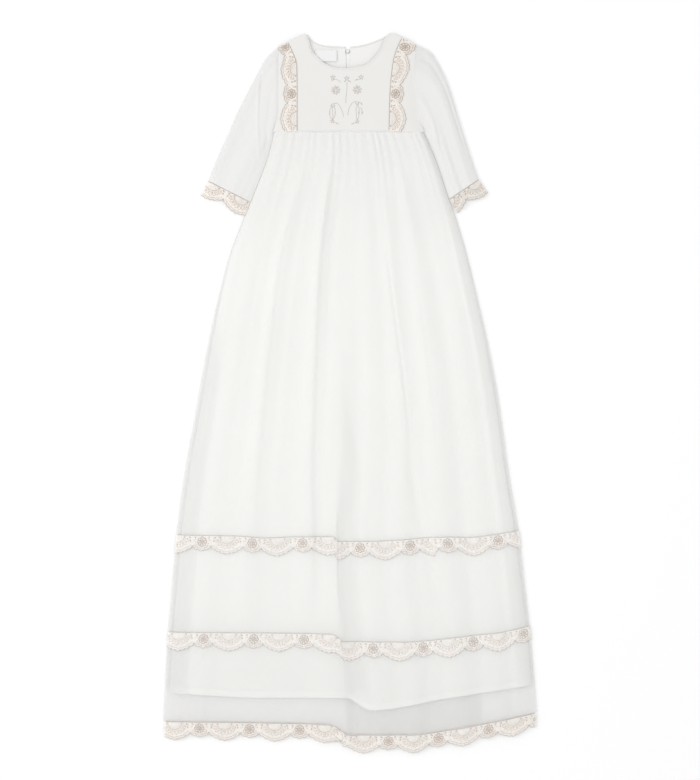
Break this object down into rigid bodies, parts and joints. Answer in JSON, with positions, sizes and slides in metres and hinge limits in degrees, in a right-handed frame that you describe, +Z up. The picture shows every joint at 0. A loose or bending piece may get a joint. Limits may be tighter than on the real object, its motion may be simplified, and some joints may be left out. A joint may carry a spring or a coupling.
{
  "type": "christening gown",
  "caption": "Long sheer christening gown over a lining, with lace rows on the skirt, lace on the yoke and sleeve ends, and small flower embroidery, laid flat.",
  "frame": {"origin": "middle of the footprint, on the surface that the gown lies on", "axes": "+X to the viewer's right, +Y from the hem to the neck, +Z up off the surface, out of the gown's front"},
  "size_m": [0.5248, 1.009, 0.0111],
  "materials": {
    "organza": "satin",
    "lining": "matte",
    "lace": "matte",
    "binding": "matte",
    "label": "satin",
    "pearl": "pearl"
  },
  "bodies": {
    "root": {"skirt_front": "organza", "skirt_back": "organza", "lining_front": "lining", "lining_back": "lining", "tier_lace_upper": "lace", "tier_lace_lower": "lace", "hem_lace_front": "lace", "hem_lace_back": "lace", "bodice_front_center": "organza", "bodice_front_left": "organza", "bodice_front_right": "organza", "bodice_back_left": "organza", "bodice_back_right": "organza", "yoke_lace_left": "lace", "yoke_lace_right": "lace", "sleeve_left": "organza", "sleeve_right": "organza", "cuff_lace_left": "lace", "cuff_lace_right": "lace", "neck_binding_front": "binding", "neck_binding_back_left": "binding", "neck_binding_back_right": "binding", "neck_label": "label", "button": "pearl", "button_loop": "binding"}
  },
  "joints": []
}
